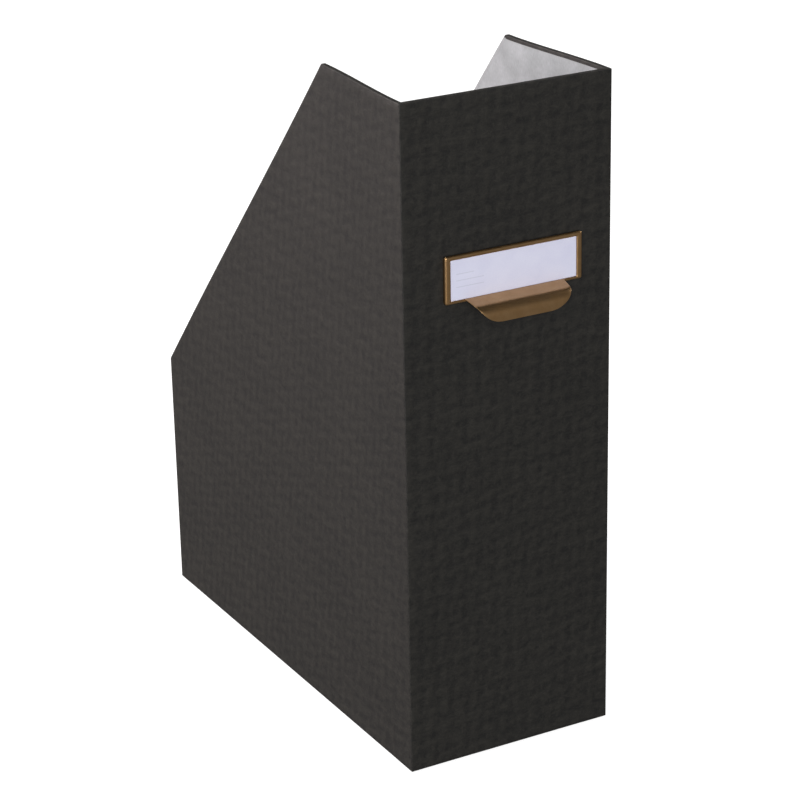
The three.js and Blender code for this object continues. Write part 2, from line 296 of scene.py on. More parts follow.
def add_bevel(piece, width):
    bevel = piece.modifiers.new("edge", "BEVEL")
    bevel.width = width
    bevel.segments = 3
    bevel.limit_method = "ANGLE"
    bevel.angle_limit = BEVEL_ANGLE


def apply_modifiers(piece, sharp_angle=SHARP_ANGLE):
    graph = bpy.context.evaluated_depsgraph_get()
    made = bpy.data.meshes.new_from_object(piece.evaluated_get(graph), depsgraph=graph)
    old = piece.data
    piece.modifiers.clear()
    piece.data = made
    made.name = piece.name
    bpy.data.meshes.remove(old)
    made.shade_smooth()
    made.set_sharp_from_angle(angle=sharp_angle)


# ---------------------------------------------------------------- cover paper


def stay_drop(wall, along):
    """How much lower the cover lies where no corner stay is under it."""
    inset = wall.half - abs(along)
    return STAY_STEP * smoothstep(inset, STAY_LEG, STAY_LEG + STAY_RAMP)


def edge_wear(wall, along, z):
    insets = (wall.half - abs(along), z - UNDERSIDE, wall.top(along) - z)
    return clamp(1 - min(insets) / WEAR_REACH)


def skin_point(wall, column, reach, inset=None, height=None):
    """A point on the outer skin. Reach is how far it stands out from the axis of its rounded edge."""
    if column.end:
        along = column.end * (wall.half - FOLD + reach * math.sin(column.turn))
        depth = FOLD - reach * math.cos(column.turn)
        stretch = STRETCH if column.end in wall.through else 1
        z = height if inset is None else wall.top(along) - inset * stretch
        u = column.end * (wall.half - FOLD + FOLD * column.turn)
    else:
        along, z = column.at(FOLD if inset is None else inset)
        depth = stay_drop(wall, along) + FOLD - reach
        z = z if height is None else height
        u = along
    return wall.place(depth, along, z), (wall.hand * u, z), edge_wear(wall, along, z)


def inner_ends(wall, depth):
    """How far along the rim and the flap reach: further where they run on over the next wall."""
    left, right = (FOLD if end in wall.through else depth for end in (-1, 1))
    return left - wall.half, wall.half - right


def rim_point(wall, column, depth, inset):
    """A point on the rim, inwards of its outer corner."""
    along, z = column.at(inset)
    along = clamp(along, *inner_ends(wall, depth))
    if column.end:
        z = wall.top(along) - inset
    return wall.place(depth, along, z), (wall.hand * along, z + depth), 1 - clamp(inset / WEAR_REACH)


def under_point(wall, column, depth):
    """A point on the paper that is turned under the base."""
    limit = wall.half - depth
    along = clamp(column.along, -limit, limit)
    return wall.place(depth, along, UNDERSIDE), (wall.hand * along, UNDERSIDE - depth), UNDER_WEAR


def lower_part(wall, column, top_inset=FOLD):
    """From under the base, round the bottom edge and up the outside."""
    points = [under_point(wall, column, depth) for depth in (TURN_UNDER, WEAR_REACH)]
    for angle in arc(ARC_STEPS):
        z = UNDERSIDE + FOLD - FOLD * math.cos(angle)
        points.append(skin_point(wall, column, FOLD * math.sin(angle), height=z))
    low = UNDERSIDE + FOLD
    foot = UNDERSIDE + WEAR_REACH
    high = skin_point(wall, column, FOLD, inset=top_inset)[1][1]
    for k in range(ROWS + 1):
        z = lerp(foot, high - WEAR_REACH, k / ROWS)
        points.append(skin_point(wall, column, FOLD, height=max(low, z)))
    points.append(skin_point(wall, column, FOLD, inset=top_inset))
    return points


def rim_part(wall, column, start_inset=FOLD):
    """Over the top edge: round its outer corner, across it and round its inner corner."""
    points = [] if start_inset == FOLD else [skin_point(wall, column, FOLD, inset=start_inset)]
    for angle in arc(ARC_STEPS):
        inset = FOLD - FOLD * math.sin(angle)
        points.append(skin_point(wall, column, FOLD * math.cos(angle), inset=inset))
    for angle in arc(ARC_STEPS):
        depth = FLAP_DEPTH - FOLD + FOLD * math.sin(angle)
        inset = FOLD - FOLD * math.cos(angle)
        points.append(rim_point(wall, column, depth, inset))
    return points


def flap_part(wall, column, drop):
    """Down the inside, from the end of the rim to drop below the top edge."""
    along, top = column.at(FOLD)
    along = clamp(along, *inner_ends(wall, FLAP_DEPTH))
    points = []
    for share in FLAP_SHARES:
        inset = lerp(FOLD, drop, share)
        place = wall.place(FLAP_DEPTH, along, top + (inset - FOLD) * column.inward[1])
        flat = (wall.hand * along, top + FLAP_DEPTH + inset)
        points.append((place, flat, clamp(1 - inset / WEAR_REACH)))
    return points


def front_cover():
    wall = WALLS["front"]
    sheet = Sheet()
    sheet.add_grid([lower_part(wall, column) for column in wall.columns])
    sheet.add_grid([rim_part(wall, column) for column in wall.columns])
    sheet.add_grid([flap_part(wall, column, TURN_IN) for column in wall.columns])
    return sheet.build("front_cover_paper", wall.outward, PAPER)


def side_cover(name, wall):
    """Its rim and the top of its flap run on over the back wall, which is lower there."""
    sheet = Sheet()
    sheet.add_grid([lower_part(wall, column) for column in wall.columns])
    sheet.add_grid([rim_part(wall, column) for column in wall.columns])
    behind = BACK_Y - FLAP_DEPTH
    inside = [c for c in wall.columns if c.end < 0 or (not c.end and c.along <= behind + TOUCHING)]
    above_back = [c for c in wall.columns if not c.end and c.along >= behind - TOUCHING]
    sheet.add_grid([flap_part(wall, column, TURN_IN) for column in inside])
    drops = [max(FOLD, (column.top - BACK_HEIGHT) / STRETCH) for column in above_back]
    sheet.add_grid([flap_part(wall, column, drop) for column, drop in zip(above_back, drops)])
    return sheet.build(name, wall.outward, PAPER)


def back_cover():
    """Between the side walls it folds over its own rim; over their ends it only turns onto their slope."""
    wall = WALLS["back"]
    top_inset = FOLD * STRETCH
    sheet = Sheet()
    sheet.add_grid([lower_part(wall, column, top_inset) for column in wall.columns])
    between = [c for c in wall.columns if abs(c.along) <= HALF_WIDTH - FLAP_DEPTH + TOUCHING]
    sheet.add_grid([rim_part(wall, column, top_inset) for column in between])
    sheet.add_grid([flap_part(wall, column, TURN_IN) for column in between])
    over_end = [c for c in wall.columns if abs(c.along) >= HALF_WIDTH - FLAP_DEPTH - TOUCHING]
    for sign in (-1, 1):
        sheet.add_grid([slope_turn(wall, column) for column in over_end if column.along * sign > 0])
    return sheet.build("back_cover_paper", wall.outward, PAPER)


def slope_turn(wall, column):
    """From the back's outside onto the slope of a side wall's rim."""
    points = []
    for angle in arc(ARC_STEPS):
        reach = FOLD * math.cos(angle)
        inset = FOLD * STRETCH * (1 - math.sin(angle))
        place, flat, wear = skin_point(wall, column, reach, inset=inset)
        place.z = side_top(place.y) - inset
        points.append((place, flat, wear))
    return points


def plate_grid(low, high, corner, edge_rows, spacing, place):
    """Columns of points on a flat plate with small rounded corners.

    Low and high are opposite corners. Each edge row is its distance in from the edge, and how much shorter
    it is at each end, as shares of the corner's size. Place makes a point from its two flat coordinates.
    """
    (left, bottom), (right, top) = low, high
    rows = [(bottom + corner * rise, corner * short) for rise, short in edge_rows]
    rows += [(y, 0.0) for y in spread(bottom + corner, top - corner, spacing)]
    rows += [(top - corner * rise, corner * short) for rise, short in reversed(edge_rows)]
    grid = []
    for x in [left, *spread(left + corner, right - corner, spacing), right]:
        flats = [(clamp(x, left + short, right - short), y) for y, short in rows]
        grid.append([(place(*flat), flat, 0.0) for flat in flats])
    return grid


def base_sheet(name, node, outward):
    """A flat sheet under or on the base, the size of its node."""
    low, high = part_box(node)
    z = low.z if outward < 0 else high.z
    sheet = Sheet()
    sheet.add_grid(plate_grid(
        low.xy, high.xy, BASE_CORNER, ((0.0, 1.0),), COLUMN_SPACING, lambda x, y: Vector((x, y, z))
    ))
    return sheet.build(name, Vector((0, 0, outward)), PAPER)


# ---------------------------------------------------------------- lining paper


def reveal(wall, along):
    """How far below the top edge the lining stops, straight down."""
    if not wall.through:
        return LEVEL_REVEAL
    past_shoulder = smoothstep(along, SHOULDER_Y - LEVEL_REVEAL, SHOULDER_Y + LEVEL_REVEAL)
    return lerp(LEVEL_REVEAL, SLOPE_REVEAL * STRETCH, past_shoulder)


def lining(name, wall):
    """Its top edge lies over the turned-in paper, and it comes down off that a little lower."""
    limit = wall.half - INSIDE
    near_shoulder = []
    if wall.through:
        splits = range(-SHOULDER_SPLITS, SHOULDER_SPLITS + 1)
        near_shoulder = [SHOULDER_Y + LEVEL_REVEAL * k / SHOULDER_SPLITS for k in splits]
    sheet = Sheet()
    grid = []
    for along in stops(-limit, limit, near_shoulder):
        top = wall.top(along) - reveal(wall, along)
        flap_end = wall.top(along) - TURN_IN
        heights = [lerp(LINING_BOTTOM, flap_end - FLAP_RAMP, k / ROWS) for k in range(ROWS + 1)]
        heights += [flap_end - FLAP_RAMP * share for share in RAMP_SHARES[-2::-1]]
        heights += [lerp(flap_end, top, 0.5), top - WEAR_REACH, top]
        line = []
        for z in heights:
            over_flap = smoothstep(z, flap_end - FLAP_RAMP, flap_end)
            depth = LINING_DEPTH - FLAP_STEP * (1 - over_flap)
            line.append((wall.place(depth, along, z), (along, z), clamp(1 - (top - z) / WEAR_REACH)))
        grid.append(line)
    sheet.add_grid(grid)
    return sheet.build(name, -wall.outward, LINING_PAPER)


# ---------------------------------------------------------------- label holder

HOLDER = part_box("label_holder")
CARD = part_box("label_card")
HOLDER_X = (HOLDER[0].x + HOLDER[1].x) / 2
HOLDER_LEFT, HOLDER_RIGHT = HOLDER[0].x, HOLDER[1].x
HOLDER_TOP = HOLDER[1].z
HOLDER_HEIGHT = 22.2 * MM
HOLDER_BOTTOM = HOLDER_TOP - HOLDER_HEIGHT
PROUD = 1.8 * MM
PLATE_FRONT = FRONT_Y - PROUD
METAL = 0.5 * MM
SIDE_BORDER = 3 * MM
TOP_BORDER = 2.1 * MM
LOWER_RAIL = 1.5 * MM
BORDERS = (SIDE_BORDER, LOWER_RAIL, TOP_BORDER)
WINDOW_BOTTOM = HOLDER_BOTTOM + LOWER_RAIL
HOLDER_CORNER = 1.2 * MM
ROLL = 1.0 * MM  # radius of the frame's outer edges
INNER_ROLL = 0.85 * MM  # radius of its inner edges, round the card
INNER_TURN = math.radians(60)
WINDOW_CORNER = 0.35 * MM
TOP_FOOT = 0.1 * MM  # how far the frame goes on behind its outer roll, along the top
ROLL_STEPS = 6
OUTLINE_ARC_STEPS = 6
OUTLINE_SIDE_STEPS = 12
METAL_EDGE = 0.1 * MM
JOIN_DEPTH = 0.05 * MM  # how far inside the frame's metal a joined part's face lies
HOLDER_SHARP_ANGLE = math.radians(32)

PULL_ROOT = 25.5 * MM  # half widths
PULL_LIP = 23.5 * MM
PULL_Y = HOLDER[0].y
PULL_BOTTOM = HOLDER[0].z
PULL_DROP = 1.2 * MM
PULL_BEND = 5.5 * MM
PULL_CORNER = 11 * MM
PULL_METAL = 0.4 * MM
ROOT_BEND = 0.7 * MM
ROOT_TAIL = 0.3 * MM  # how far the tongue goes on below its root bend
ROOT_STEPS = 6
BEND_STEPS = 12
LEDGE_STEPS = 6
LIP_SPACING = 0.4 * MM
PULL_COLUMNS = 24

PRONG_WIDTH = 3 * MM
PRONG_LENGTH = 5 * MM
PRONG_FROM_END = 5 * MM
PRONG_BACK = HOLDER[1].y
PRONG_COLUMNS = 2

CARD_CORNER = 0.8 * MM
CARD_EDGE = 0.06 * MM
CARD_EDGE_ROWS = ((0.0, 1.0), (0.3, 0.3))  # distance in and shortening, as shares of the corner
CARD_SPACING = 3 * MM


def rounded_rectangle(left, right, bottom, top, radius):
    """Points (x, z) of a closed outline, anticlockwise, with even points along its straight sides."""
    centres = [
        (right - radius, bottom + radius),
        (right - radius, top - radius),
        (left + radius, top - radius),
        (left + radius, bottom + radius),
    ]
    corners = []
    for quarter, (x, z) in enumerate(centres):
        start = math.pi / 2 * (quarter - 1)
        turns = [start + turn for turn in arc(OUTLINE_ARC_STEPS)]
        corners.append([(x + radius * math.cos(turn), z + radius * math.sin(turn)) for turn in turns])
    outline = []
    for corner, after in zip(corners, corners[1:] + corners[:1]):
        outline += corner
        for step in range(1, OUTLINE_SIDE_STEPS):
            share = step / OUTLINE_SIDE_STEPS
            outline.append(tuple(lerp(corner[-1][k], after[0][k], share) for k in (0, 1)))
    return outline + outline[:1]


def frame_ring(y, insets, radius):
    """One ring of the frame, at a depth. The insets are from its sides, its bottom and its top."""
    side, lower, upper = insets
    outline = rounded_rectangle(
        HOLDER_LEFT + side, HOLDER_RIGHT - side, HOLDER_BOTTOM + lower, HOLDER_TOP - upper, radius
    )
    return [(Vector((x, y, z)), (x, z), 0.0) for x, z in outline]


def frame_foot():
    """The edge that the frame stands on.

    Along the top it stops short of the panel, but it still reaches into the card there.
    """
    foot = frame_ring(FRONT_Y, [0.0] * 3, HOLDER_CORNER)
    for place, _, _ in foot:
        open_top = smoothstep(place.z, HOLDER_TOP - HOLDER_CORNER, HOLDER_TOP)
        place.y = lerp(FRONT_Y, PLATE_FRONT + ROLL + TOP_FOOT, open_top)
    return foot


def holder_frame():
    """The raised frame round the card: turned back outside, and rolled down a little towards the card."""
    rings = [frame_foot()]
    for angle in arc(ROLL_STEPS):
        inset = ROLL * (1 - math.cos(angle))
        y = PLATE_FRONT + ROLL * (1 - math.sin(angle))
        rings.append(frame_ring(y, [inset] * 3, max(HOLDER_CORNER - inset, WINDOW_CORNER)))
    reach = INNER_ROLL * math.sin(INNER_TURN)
    for angle in arc(ROLL_STEPS, INNER_TURN):
        y = PLATE_FRONT + INNER_ROLL * (1 - math.cos(angle))
        left = reach - INNER_ROLL * math.sin(angle)
        insets = [border - left * min(1, (border - ROLL) / reach) for border in BORDERS]
        rings.append(frame_ring(y, insets, WINDOW_CORNER))
    sheet = Sheet()
    sheet.add_grid(rings)
    return sheet.build("label_frame", Vector((0, -1, 0)), METAL, METAL_EDGE)


def ribbon(name, path, across, half_width, outward, columns):
    """A bent strip of metal. The path is the middle of its outer face, from end to end.

    Half_width gives the strip's half width from a share of its length, and the length.
    """
    lengths = [0.0]
    for a, b in zip(path, path[1:]):
        lengths.append(lengths[-1] + (b - a).length)
    sheet = Sheet()
    grid = []
    for k in range(columns + 1):
        side = 2 * k / columns - 1
        line = []
        for point, length in zip(path, lengths):
            half = half_width(length / lengths[-1], lengths[-1])
            line.append((point + across * side * half, (side * half, length), 0.0))
        grid.append(line)
    sheet.add_grid(grid)
    return sheet.build(name, outward, PULL_METAL, METAL_EDGE)


def bend(centre, radius, start, end, steps):
    """Points (a, b) on an arc about a centre, from one angle to another."""
    angles = [lerp(start, end, k / steps) for k in range(steps + 1)]
    return [(centre[0] + radius * math.cos(a), centre[1] + radius * math.sin(a)) for a in angles]


def pull_half_width(share, length):
    tapered = lerp(PULL_ROOT, PULL_LIP, share)
    into_corner = clamp(1 - (1 - share) * length / PULL_CORNER)
    return tapered - PULL_CORNER * (1 - math.sqrt(max(0.0, 1 - into_corner**2)))


def finger_pull():
    """A tongue that rises inside the lower rail, bends out into a ledge and hangs down as a lip."""
    back = PLATE_FRONT + METAL - JOIN_DEPTH
    fall = math.atan2(PULL_DROP, back - PULL_Y)
    root = (back - ROOT_BEND, WINDOW_BOTTOM - ROOT_BEND)
    lip = (PULL_Y + PULL_BEND, WINDOW_BOTTOM - PULL_DROP - PULL_BEND)
    tongue = [(back, WINDOW_BOTTOM - ROOT_BEND - ROOT_TAIL)]
    tongue += bend(root, ROOT_BEND, 0.0, math.pi / 2 + fall, ROOT_STEPS)
    turn = bend(lip, PULL_BEND, math.pi / 2 + fall, math.pi, BEND_STEPS)
    (start_y, start_z), (end_y, end_z) = tongue[-1], turn[0]
    shares = [k / LEDGE_STEPS for k in range(1, LEDGE_STEPS)]
    ledge = [(lerp(start_y, end_y, share), lerp(start_z, end_z, share)) for share in shares]
    hanging = [(PULL_Y, z) for z in spread(turn[-1][1], PULL_BOTTOM, LIP_SPACING)[1:]]
    path = [Vector((HOLDER_X, y, z)) for y, z in tongue + ledge + turn + hanging]
    across, outward = Vector((1, 0, 0)), Vector((0, -1, 1))
    return ribbon("finger_pull", path, across, pull_half_width, outward, PULL_COLUMNS)


def prongs():
    """Four prongs that go straight back through the panel and are clinched towards the holder's middle."""
    made = []
    for sign, outer in ((-1, HOLDER_LEFT), (1, HOLDER_RIGHT)):
        x = outer - sign * JOIN_DEPTH
        corner = (x - sign * ROOT_BEND, PRONG_BACK - ROOT_BEND)
        start = 0.0 if sign > 0 else math.pi
        line = [(x, FRONT_Y - METAL)]
        line += bend(corner, ROOT_BEND, start, math.pi / 2, ROOT_STEPS)
        line.append((x - sign * PRONG_LENGTH, PRONG_BACK))
        across, outward = Vector((0, 0, 1)), Vector((sign, 1, 0))
        for z in (HOLDER_BOTTOM + PRONG_FROM_END, HOLDER_TOP - PRONG_FROM_END):
            path = [Vector((a, b, z)) for a, b in line]
            made.append(ribbon("prong", path, across, lambda *_: PRONG_WIDTH / 2, outward, PRONG_COLUMNS))
    return made


def label_holder():
    """The frame, its pull and its prongs, joined into one pressed piece."""
    holder = holder_frame()
    for part in [finger_pull(), *prongs()]:
        join = holder.modifiers.new("join", "BOOLEAN")
        join.operation = "UNION"
        join.solver = "EXACT"
        join.object = part
        apply_modifiers(holder, HOLDER_SHARP_ANGLE)
        bpy.data.objects.remove(part)
    holder.name = "brass_label_holder"
    return holder


def card_piece():
    """The loose card: its own thickness, slightly rounded corners and softened edges."""
    low, high = CARD
    sheet = Sheet()
    sheet.add_grid(plate_grid(
        low.xz, high.xz, CARD_CORNER, CARD_EDGE_ROWS, CARD_SPACING, lambda x, z: Vector((x, low.y, z))
    ))
    return sheet.build("paper_label_card", Vector((0, -1, 0)), high.y - low.y, CARD_EDGE)


# ---------------------------------------------------------------- materials

BASKET_PITCH = (7.9 * MM, 8.4 * MM)  # across and up, from one pressed hollow to the next
BASKET_SLANT = 1.45  # how strong the slanting ridges are against the hollows
BASKET_WOBBLE = 0.5 * MM
BASKET_DEPTH = 0.015 * MM
STREAK_SCALE = 330.0  # per metre
STREAK_STRETCHES = ((1.0, 0.8, 1.0), (0.45, 1.0, 1.0))  # the fine streaks run more across than up
STREAK_DEPTH = 0.06 * MM
MOTTLE_DEPTH = 0.04 * MM
PULP_DEPTH = 0.08 * MM
RIB_DEPTH = 0.03 * MM
BRUSHING_DEPTH = 0.004 * MM
CARD_GRAIN_DEPTH = 0.01 * MM

RULE_START = 5 * MM
RULE_THICKNESS = 0.35 * MM
# Each rule on the card: its height above the card's foot, and its length.
RULES = ((12.5 * MM, 9 * MM), (9.5 * MM, 14 * MM), (6.5 * MM, 14 * MM))


# Between which values of a noise a material changes.
NARROW_NOISE = (0.35, 0.65)
WIDE_NOISE = (0.3, 0.7)
DULLING_NOISE = (0.35, 0.7)

RIDGE_ROUGHNESS = -0.014  # the pressed ridges are a little smoother than the hollows
BRUSHING_ROUGHNESS = 0.14


class Finish:
    """A material's node tree, with short calls that add a node and wire it up."""

    def __init__(self, name):
        self.material = bpy.data.materials.new(name)
        self.material.use_nodes = True
        self.tree = self.material.node_tree
        self.shader = self.tree.nodes["Principled BSDF"]

    def set(self, **inputs):
        for name, value in inputs.items():
            self.wire(self.shader.inputs[name.replace("_", " ")], value)

    def wire(self, socket, value):
        if isinstance(value, bpy.types.NodeSocket):
            self.tree.links.new(value, socket)
        else:
            socket.default_value = value

    def node(self, kind, inputs=None, output=0, **settings):
        node = self.tree.nodes.new(kind)
        for name, value in settings.items():
            setattr(node, name, value)
        for key, value in (inputs or {}).items():
            self.wire(node.inputs[key], value)
        return node.outputs[output]

    def math(self, operation, *values):
        return self.node("ShaderNodeMath", dict(enumerate(values)), operation=operation)

    def weighted(self, *parts):
        """The sum of some values, each times its weight."""
        (value, weight), *others = parts
        total = self.math("MULTIPLY", value, weight)
        for value, weight in others:
            total = self.math("MULTIPLY_ADD", value, weight, total)
        return total

    def scaled(self, vector, factors):
        return self.node("ShaderNodeVectorMath", {0: vector, 1: factors}, operation="MULTIPLY")

    def noise(self, vector, scale, detail=2.0, roughness=0.5):
        inputs = {"Vector": vector, "Scale": scale, "Detail": detail, "Roughness": roughness}
        return self.node("ShaderNodeTexNoise", inputs)

    def attribute(self, name, output):
        return self.node("ShaderNodeAttribute", attribute_name=name, output=output)

    def object_place(self):
        return self.node("ShaderNodeTexCoord", output=3)

    def fit(self, value, found, wanted=(0.0, 1.0)):
        """The value, moved from the range it is found in to the range wanted."""
        inputs = {
            "Value": value,
            "From Min": found[0], "From Max": found[1],
            "To Min": wanted[0], "To Max": wanted[1],
        }
        return self.node("ShaderNodeMapRange", inputs)

    def blend(self, share, a, b):
        return self.node("ShaderNodeMix", {0: share, 6: a, 7: b}, output=2, data_type="RGBA")

    def bump(self, height, distance, normal=None):
        inputs = {"Height": height, "Distance": distance}
        if normal:
            inputs["Normal"] = normal
        return self.node("ShaderNodeBump", inputs)


def srgb(red, green, blue):
    """A colour from its usual 0 to 255 values to the linear ones that a shader takes."""
    def linear(value):
        share = value / 255
        return share / 12.92 if share <= 0.04045 else ((share + 0.055) / 1.055) ** 2.4

    return linear(red), linear(green), linear(blue), 1.0


def basket(finish, flat):
    """The height of a pressed basket pattern.

    Its hollows stand and lie in turn, with slanting ridges between them.
    """
    uneven = finish.math("MULTIPLY", finish.noise(flat, scale=60.0), BASKET_WOBBLE)
    bent = finish.node("ShaderNodeVectorMath", {0: flat, 1: uneven}, operation="ADD")
    split = finish.tree.nodes.new("ShaderNodeSeparateXYZ")
    finish.wire(split.inputs[0], finish.scaled(bent, [2 * math.pi / pitch for pitch in BASKET_PITCH] + [0]))
    across, up = split.outputs[:2]
    hollows = finish.math("ADD", finish.math("COSINE", across), finish.math("COSINE", up))
    rising = finish.math("SINE", finish.math("SUBTRACT", across, up))
    falling = finish.math("SINE", finish.math("MULTIPLY", finish.math("ADD", across, up), 0.5))
    ridges = finish.math("MULTIPLY", finish.math("MULTIPLY", rising, falling), BASKET_SLANT)
    return finish.math("SUBTRACT", ridges, hollows)


def streaks(finish, flat):
    """Short fine streaks that run up and across, as uneven threads do."""
    runs = [
        finish.noise(finish.scaled(flat, stretch), scale=STREAK_SCALE, detail=3.0, roughness=0.85)
        for stretch in STREAK_STRETCHES
    ]
    return finish.math("MAXIMUM", *runs)


def cover_finish():
    """Black paper pressed with a basket pattern: semi-matt, rubbed a little lighter along its edges, with
    painted shade in the pattern's hollows and a painted highlight on its ridges.
    """
    finish = Finish("black_basket_paper")
    flat = finish.attribute("flat", 1)
    relief = basket(finish, flat)
    grain = streaks(finish, flat)
    patches = finish.noise(flat, scale=22.0, detail=3.0)
    # Painted shade and highlight: the pressed relief makes the colour darker in the hollows and lighter on
    # the ridges.
    ridges = finish.fit(relief, (-1.3, 1.3))
    shade = finish.weighted((grain, 0.8), (ridges, 0.08), (patches, 0.12))
    colour = finish.blend(finish.fit(shade, (0.405, 0.675)), srgb(17, 16, 15), srgb(45, 43, 39))
    uneven = finish.noise(flat, scale=420.0, detail=4.0, roughness=0.7)
    rubbing = finish.math("MULTIPLY", finish.attribute("wear", 2), uneven)
    colour = finish.blend(finish.fit(rubbing, (0.45, 0.75), (0.0, 0.25)), colour, srgb(66, 62, 57))
    grain_roughness = finish.fit(grain, (0.45, 0.7), (0.55, 0.5))
    roughness = finish.math("MULTIPLY_ADD", relief, RIDGE_ROUGHNESS, grain_roughness)
    pressed = finish.bump(relief, BASKET_DEPTH)
    normal = finish.bump(grain, STREAK_DEPTH, normal=pressed)
    finish.set(Base_Color=colour, Roughness=roughness, Normal=normal, Specular_IOR_Level=0.4)
    return finish.material


def lining_finish():
    """Plain light grey paper: matt, faintly mottled, with short fibres."""
    finish = Finish("grey_lining_paper")
    flat = finish.attribute("flat", 1)
    mottle = finish.noise(flat, scale=60.0, detail=4.0, roughness=0.6)
    fibres = finish.noise(finish.scaled(flat, (1.0, 0.35, 1.0)), scale=1500.0, detail=3.0, roughness=0.6)
    both = finish.weighted((mottle, 0.65), (fibres, 0.35))
    colour = finish.blend(finish.fit(both, NARROW_NOISE), srgb(153, 156, 158), srgb(181, 184, 187))
    colour = finish.blend(
        finish.fit(finish.attribute("wear", 2), (0.7, 1.0), (0.0, 0.2)), colour, srgb(150, 148, 146)
    )
    finish.set(
        Base_Color=colour,
        Roughness=finish.fit(both, WIDE_NOISE, (0.78, 0.92)),
        Normal=finish.bump(both, MOTTLE_DEPTH),
        Specular_IOR_Level=0.3,
    )
    return finish.material


def board_finish():
    """Grey pulp board, with flecks of the paper that it was made from."""
    finish = Finish("grey_pulp_board")
    place = finish.object_place()
    pulp = finish.noise(place, scale=900.0, detail=5.0, roughness=0.7)
    flecks = finish.noise(finish.scaled(place, (1.0, 1.0, 2.5)), scale=480.0, detail=2.0)
    colour = finish.blend(finish.fit(pulp, NARROW_NOISE), srgb(131, 123, 112), srgb(160, 152, 141))
    colour = finish.blend(finish.fit(flecks, (0.66, 0.72), (0.0, 0.6)), colour, srgb(88, 84, 80))
    finish.set(Base_Color=colour, Roughness=finish.fit(pulp, WIDE_NOISE, (0.88, 0.98)))
    finish.set(Normal=finish.bump(pulp, PULP_DEPTH))
    return finish.material


def stay_finish():
    """Brown gummed paper, ribbed finely along its length."""
    finish = Finish("brown_stay_paper")
    place = finish.object_place()
    ribs = finish.noise(finish.scaled(place, (1.0, 1.0, 0.04)), scale=1400.0, detail=2.0)
    cloud = finish.noise(place, scale=70.0, detail=4.0)
    shade = finish.weighted((cloud, 0.5), (ribs, 0.5))
    colour = finish.blend(finish.fit(shade, NARROW_NOISE), srgb(170, 147, 110), srgb(196, 177, 142))
    finish.set(Base_Color=colour, Roughness=finish.fit(shade, WIDE_NOISE, (0.7, 0.85)))
    finish.set(Normal=finish.bump(ribs, RIB_DEPTH))
    return finish.material


def brass_finish():
    """Satin brass, brushed along its length and a little darker where it has dulled."""
    finish = Finish("satin_brass")
    place = finish.object_place()
    brushing = finish.noise(finish.scaled(place, (0.03, 1.0, 1.0)), scale=6000.0, detail=3.0, roughness=0.6)
    dulling = finish.noise(place, scale=160.0, detail=4.0, roughness=0.6)
    colour = finish.blend(finish.fit(dulling, DULLING_NOISE), srgb(182, 146, 104), srgb(168, 132, 90))
    dulled = finish.fit(dulling, DULLING_NOISE, (0.22, 0.27))
    roughness = finish.math("MULTIPLY_ADD", brushing, BRUSHING_ROUGHNESS, dulled)
    finish.set(
        Base_Color=colour, Metallic=1.0, Roughness=roughness, Normal=finish.bump(brushing, BRUSHING_DEPTH)
    )
    return finish.material


def card_finish():
    """Blue-white card with a faint ruled space for writing."""
    finish = Finish("white_card")
    flat = finish.attribute("flat", 1)
    grain = finish.noise(flat, scale=1200.0, detail=4.0, roughness=0.6)
    cloud = finish.noise(flat, scale=90.0, detail=3.0)
    both = finish.weighted((cloud, 0.6), (grain, 0.4))
    colour = finish.blend(finish.fit(both, NARROW_NOISE), srgb(226, 227, 250), srgb(233, 234, 254))
    split = finish.tree.nodes.new("ShaderNodeSeparateXYZ")
    finish.wire(split.inputs[0], flat)
    x, z = split.outputs[:2]
    rules = None
    for height, length in RULES:
        near = finish.math("COMPARE", z, CARD[0].z + height, RULE_THICKNESS / 2)
        start = finish.math("GREATER_THAN", x, CARD[0].x + RULE_START)
        stop = finish.math("LESS_THAN", x, CARD[0].x + RULE_START + length)
        rule = finish.math("MULTIPLY", near, finish.math("MULTIPLY", start, stop))
        rules = rule if rules is None else finish.math("MAXIMUM", rules, rule)
    colour = finish.blend(finish.math("MULTIPLY", rules, 0.3), colour, srgb(168, 171, 190))
    finish.set(Base_Color=colour, Roughness=finish.fit(both, WIDE_NOISE, (0.6, 0.75)))
    finish.set(Normal=finish.bump(grain, CARD_GRAIN_DEPTH))
    return finish.material


# ---------------------------------------------------------------- the pieces


def dress(piece, material, slot, body, *nodes):
    piece.data.materials.clear()
    piece.data.materials.append(material)
    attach(piece, body)
    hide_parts(*nodes)


cover_paper = cover_finish()
lining_paper = lining_finish()
brass = brass_finish()
card = card_finish()
board = board_finish()
stay = stay_finish()

dress(front_cover(), cover_paper, "cover_paper", "file_body", "cover_front")
dress(back_cover(), cover_paper, "cover_paper", "file_body", "cover_back")
for side in ("left", "right"):
    piece = side_cover(f"{side}_cover_paper", WALLS[side])
    dress(piece, cover_paper, "cover_paper", "file_body", f"cover_{side}")
for name, wall in WALLS.items():
    piece = lining(f"{name}_lining_paper", wall)
    dress(piece, lining_paper, "lining_paper", "file_body", f"lining_{name}")
piece = base_sheet("base_cover_paper", "cover_base", -1)
dress(piece, cover_paper, "cover_paper", "file_body", "cover_base")
piece = base_sheet("base_lining_paper", "lining_base", 1)
dress(piece, lining_paper, "lining_paper", "file_body", "lining_base")
dress(label_holder(), brass, "brass", "file_body", "label_holder")
dress(card_piece(), card, "card", "label_card", "label_card")

for name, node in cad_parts.items():
    if name.startswith(("board_", "corner_stay_")):
        is_board = name.startswith("board_")
        node.data.materials.clear()
        node.data.materials.append(board if is_board else stay)

# ---------------------------------------------------------------- camera, floor and light

AZIMUTH = math.radians(-28.84)
ELEVATION = math.radians(21.47)
TILT = math.radians(-1.166)
AIM = Vector((-12.8, -47.3, 150.3)) * MM
DISTANCE = 1.29
LENS = 123.3  # millimetres
SENSOR_WIDTH = 36

FLOOR_REACH = 12.0
FLOOR_GREY = 0.35
FLOOR_GLOW = 0.86
FLOOR_DROP = 0.1 * MM  # so that the floor and the base sheet aren't in one plane

